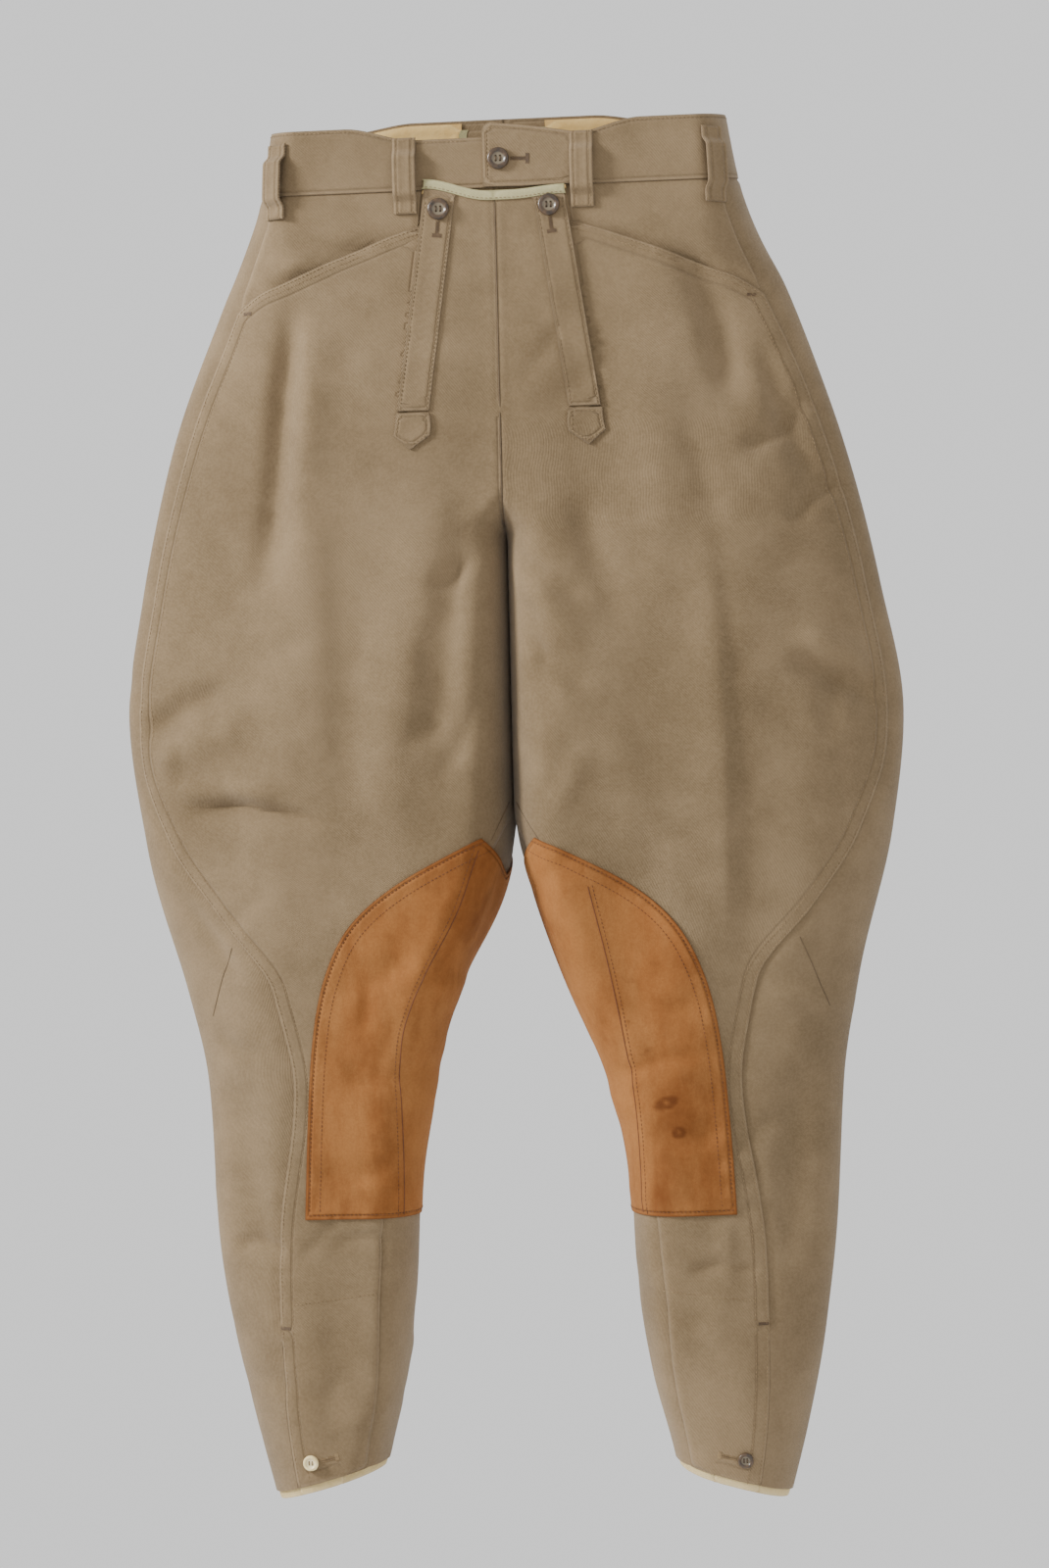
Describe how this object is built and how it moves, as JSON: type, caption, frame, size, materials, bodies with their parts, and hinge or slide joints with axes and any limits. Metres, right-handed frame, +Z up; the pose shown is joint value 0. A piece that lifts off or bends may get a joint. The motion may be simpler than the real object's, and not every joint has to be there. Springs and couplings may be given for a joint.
{
  "type": "riding breeches",
  "caption": "Riding breeches with flared thighs, buttoned fall front, slanted pockets, suede knee strappings and buttoned cuffs, hanging from the waistband.",
  "frame": {"origin": "on the centre line, halfway between the front and the back of the waist, level with the top edge of the front waistband, where a clip hanger holds it", "axes": "+Z up along the hanging legs, the front faces -Y, +X towards the wearer's left"},
  "size_m": [0.5424, 0.1234, 0.9574],
  "materials": {
    "cloth": "cotton whipcord twill, matt, a little faded",
    "suede": "suede, napped, with darker marks",
    "lining": "plain cotton lining",
    "tape": "woven cotton tape",
    "button_dark": "mottled brown, polished",
    "button_pale": "cream, polished"
  },
  "bodies": {
    "breeches": {"front_hip_left": "cloth", "front_hip_right": "cloth", "front_thigh_left": "cloth", "front_thigh_right": "cloth", "front_shin_left": "cloth", "front_shin_right": "cloth", "back_seat_left": "cloth", "back_seat_right": "cloth", "back_thigh_left": "cloth", "back_thigh_right": "cloth", "back_knee_left": "cloth", "back_knee_right": "cloth", "back_calf_left": "cloth", "back_calf_right": "cloth", "pocket_yoke_left": "cloth", "pocket_yoke_right": "cloth", "pocket_bag_left": "lining", "pocket_bag_right": "lining", "bearer_left": "cloth", "bearer_right": "cloth", "waistband_left": "cloth", "waistband_right": "cloth", "waistband_lining_left": "lining", "waistband_lining_right": "lining", "back_outlet_left": "cloth", "back_outlet_right": "cloth", "facing_point_left": "cloth", "facing_point_right": "cloth", "knee_strap_left": "suede", "knee_strap_right": "suede", "cuff_underlap_left": "cloth", "cuff_underlap_right": "cloth", "hem_tape_left": "tape", "hem_tape_right": "tape", "belt_loop_front_left": "cloth", "belt_loop_front_right": "cloth", "belt_loop_side_left": "cloth", "belt_loop_side_right": "cloth", "belt_loop_back_left": "cloth", "belt_loop_back_right": "cloth", "waist_button": "button_dark", "flap_button_left": "button_dark", "flap_button_right": "button_dark", "cuff_button_left": "button_dark", "cuff_button_right": "button_pale"},
    "fall_flap": {"fall_flap_left": "cloth", "fall_flap_right": "cloth", "flap_facing_left": "cloth", "flap_facing_right": "cloth", "flap_binding": "tape"},
    "waist_tab": {"waistband_tab": "cloth"},
    "cuff_left": {"cuff_flap_left": "cloth", "cuff_flap_tape_left": "tape"},
    "cuff_right": {"cuff_flap_right": "cloth", "cuff_flap_tape_right": "tape"}
  },
  "joints": [
    {"name": "fall_flap_fold", "type": "hinge", "parent": "breeches", "child": "fall_flap", "pos_m": [0, -0.0445, -0.1966], "axis": [1, 0, 0], "range_deg": [0, 150]},
    {"name": "waist_tab_fold", "type": "hinge", "parent": "breeches", "child": "waist_tab", "pos_m": [0.05, -0.041, -0.022], "axis": [0, 0, 1], "range_deg": [0, 90]},
    {"name": "cuff_left_fold", "type": "hinge", "parent": "breeches", "child": "cuff_left", "pos_m": [0.13267, -0.03502, -0.88104], "axis": [-0.0765, 0.0515, -0.9957], "range_deg": [0, 60]},
    {"name": "cuff_right_fold", "type": "hinge", "parent": "breeches", "child": "cuff_right", "pos_m": [-0.13267, -0.03502, -0.88104], "axis": [-0.0765, -0.0515, 0.9957], "range_deg": [0, 60]}
  ]
}
